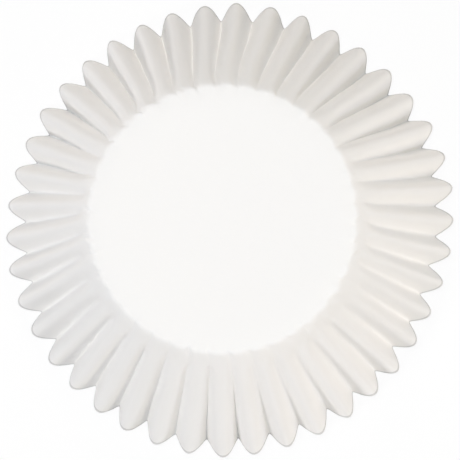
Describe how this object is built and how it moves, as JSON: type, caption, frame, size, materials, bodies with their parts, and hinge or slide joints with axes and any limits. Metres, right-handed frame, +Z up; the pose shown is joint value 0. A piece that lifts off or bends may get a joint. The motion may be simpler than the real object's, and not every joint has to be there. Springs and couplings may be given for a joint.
{
  "type": "cupcake liner",
  "caption": "Fluted paper baking cup, turned over to stand on its rim: flat round base on top, flared pleated wall, open underneath.",
  "frame": {"origin": "centre of the cup at the level on which its rim stands", "axes": "+Z up along the cup's axis, from the rim to the base, which is on top; +X through the crown of one flute"},
  "size_m": [0.0768, 0.0776, 0.0324],
  "materials": {
    "paper": "matt white greaseproof paper"
  },
  "bodies": {
    "root": {"liner": "paper"}
  },
  "joints": []
}
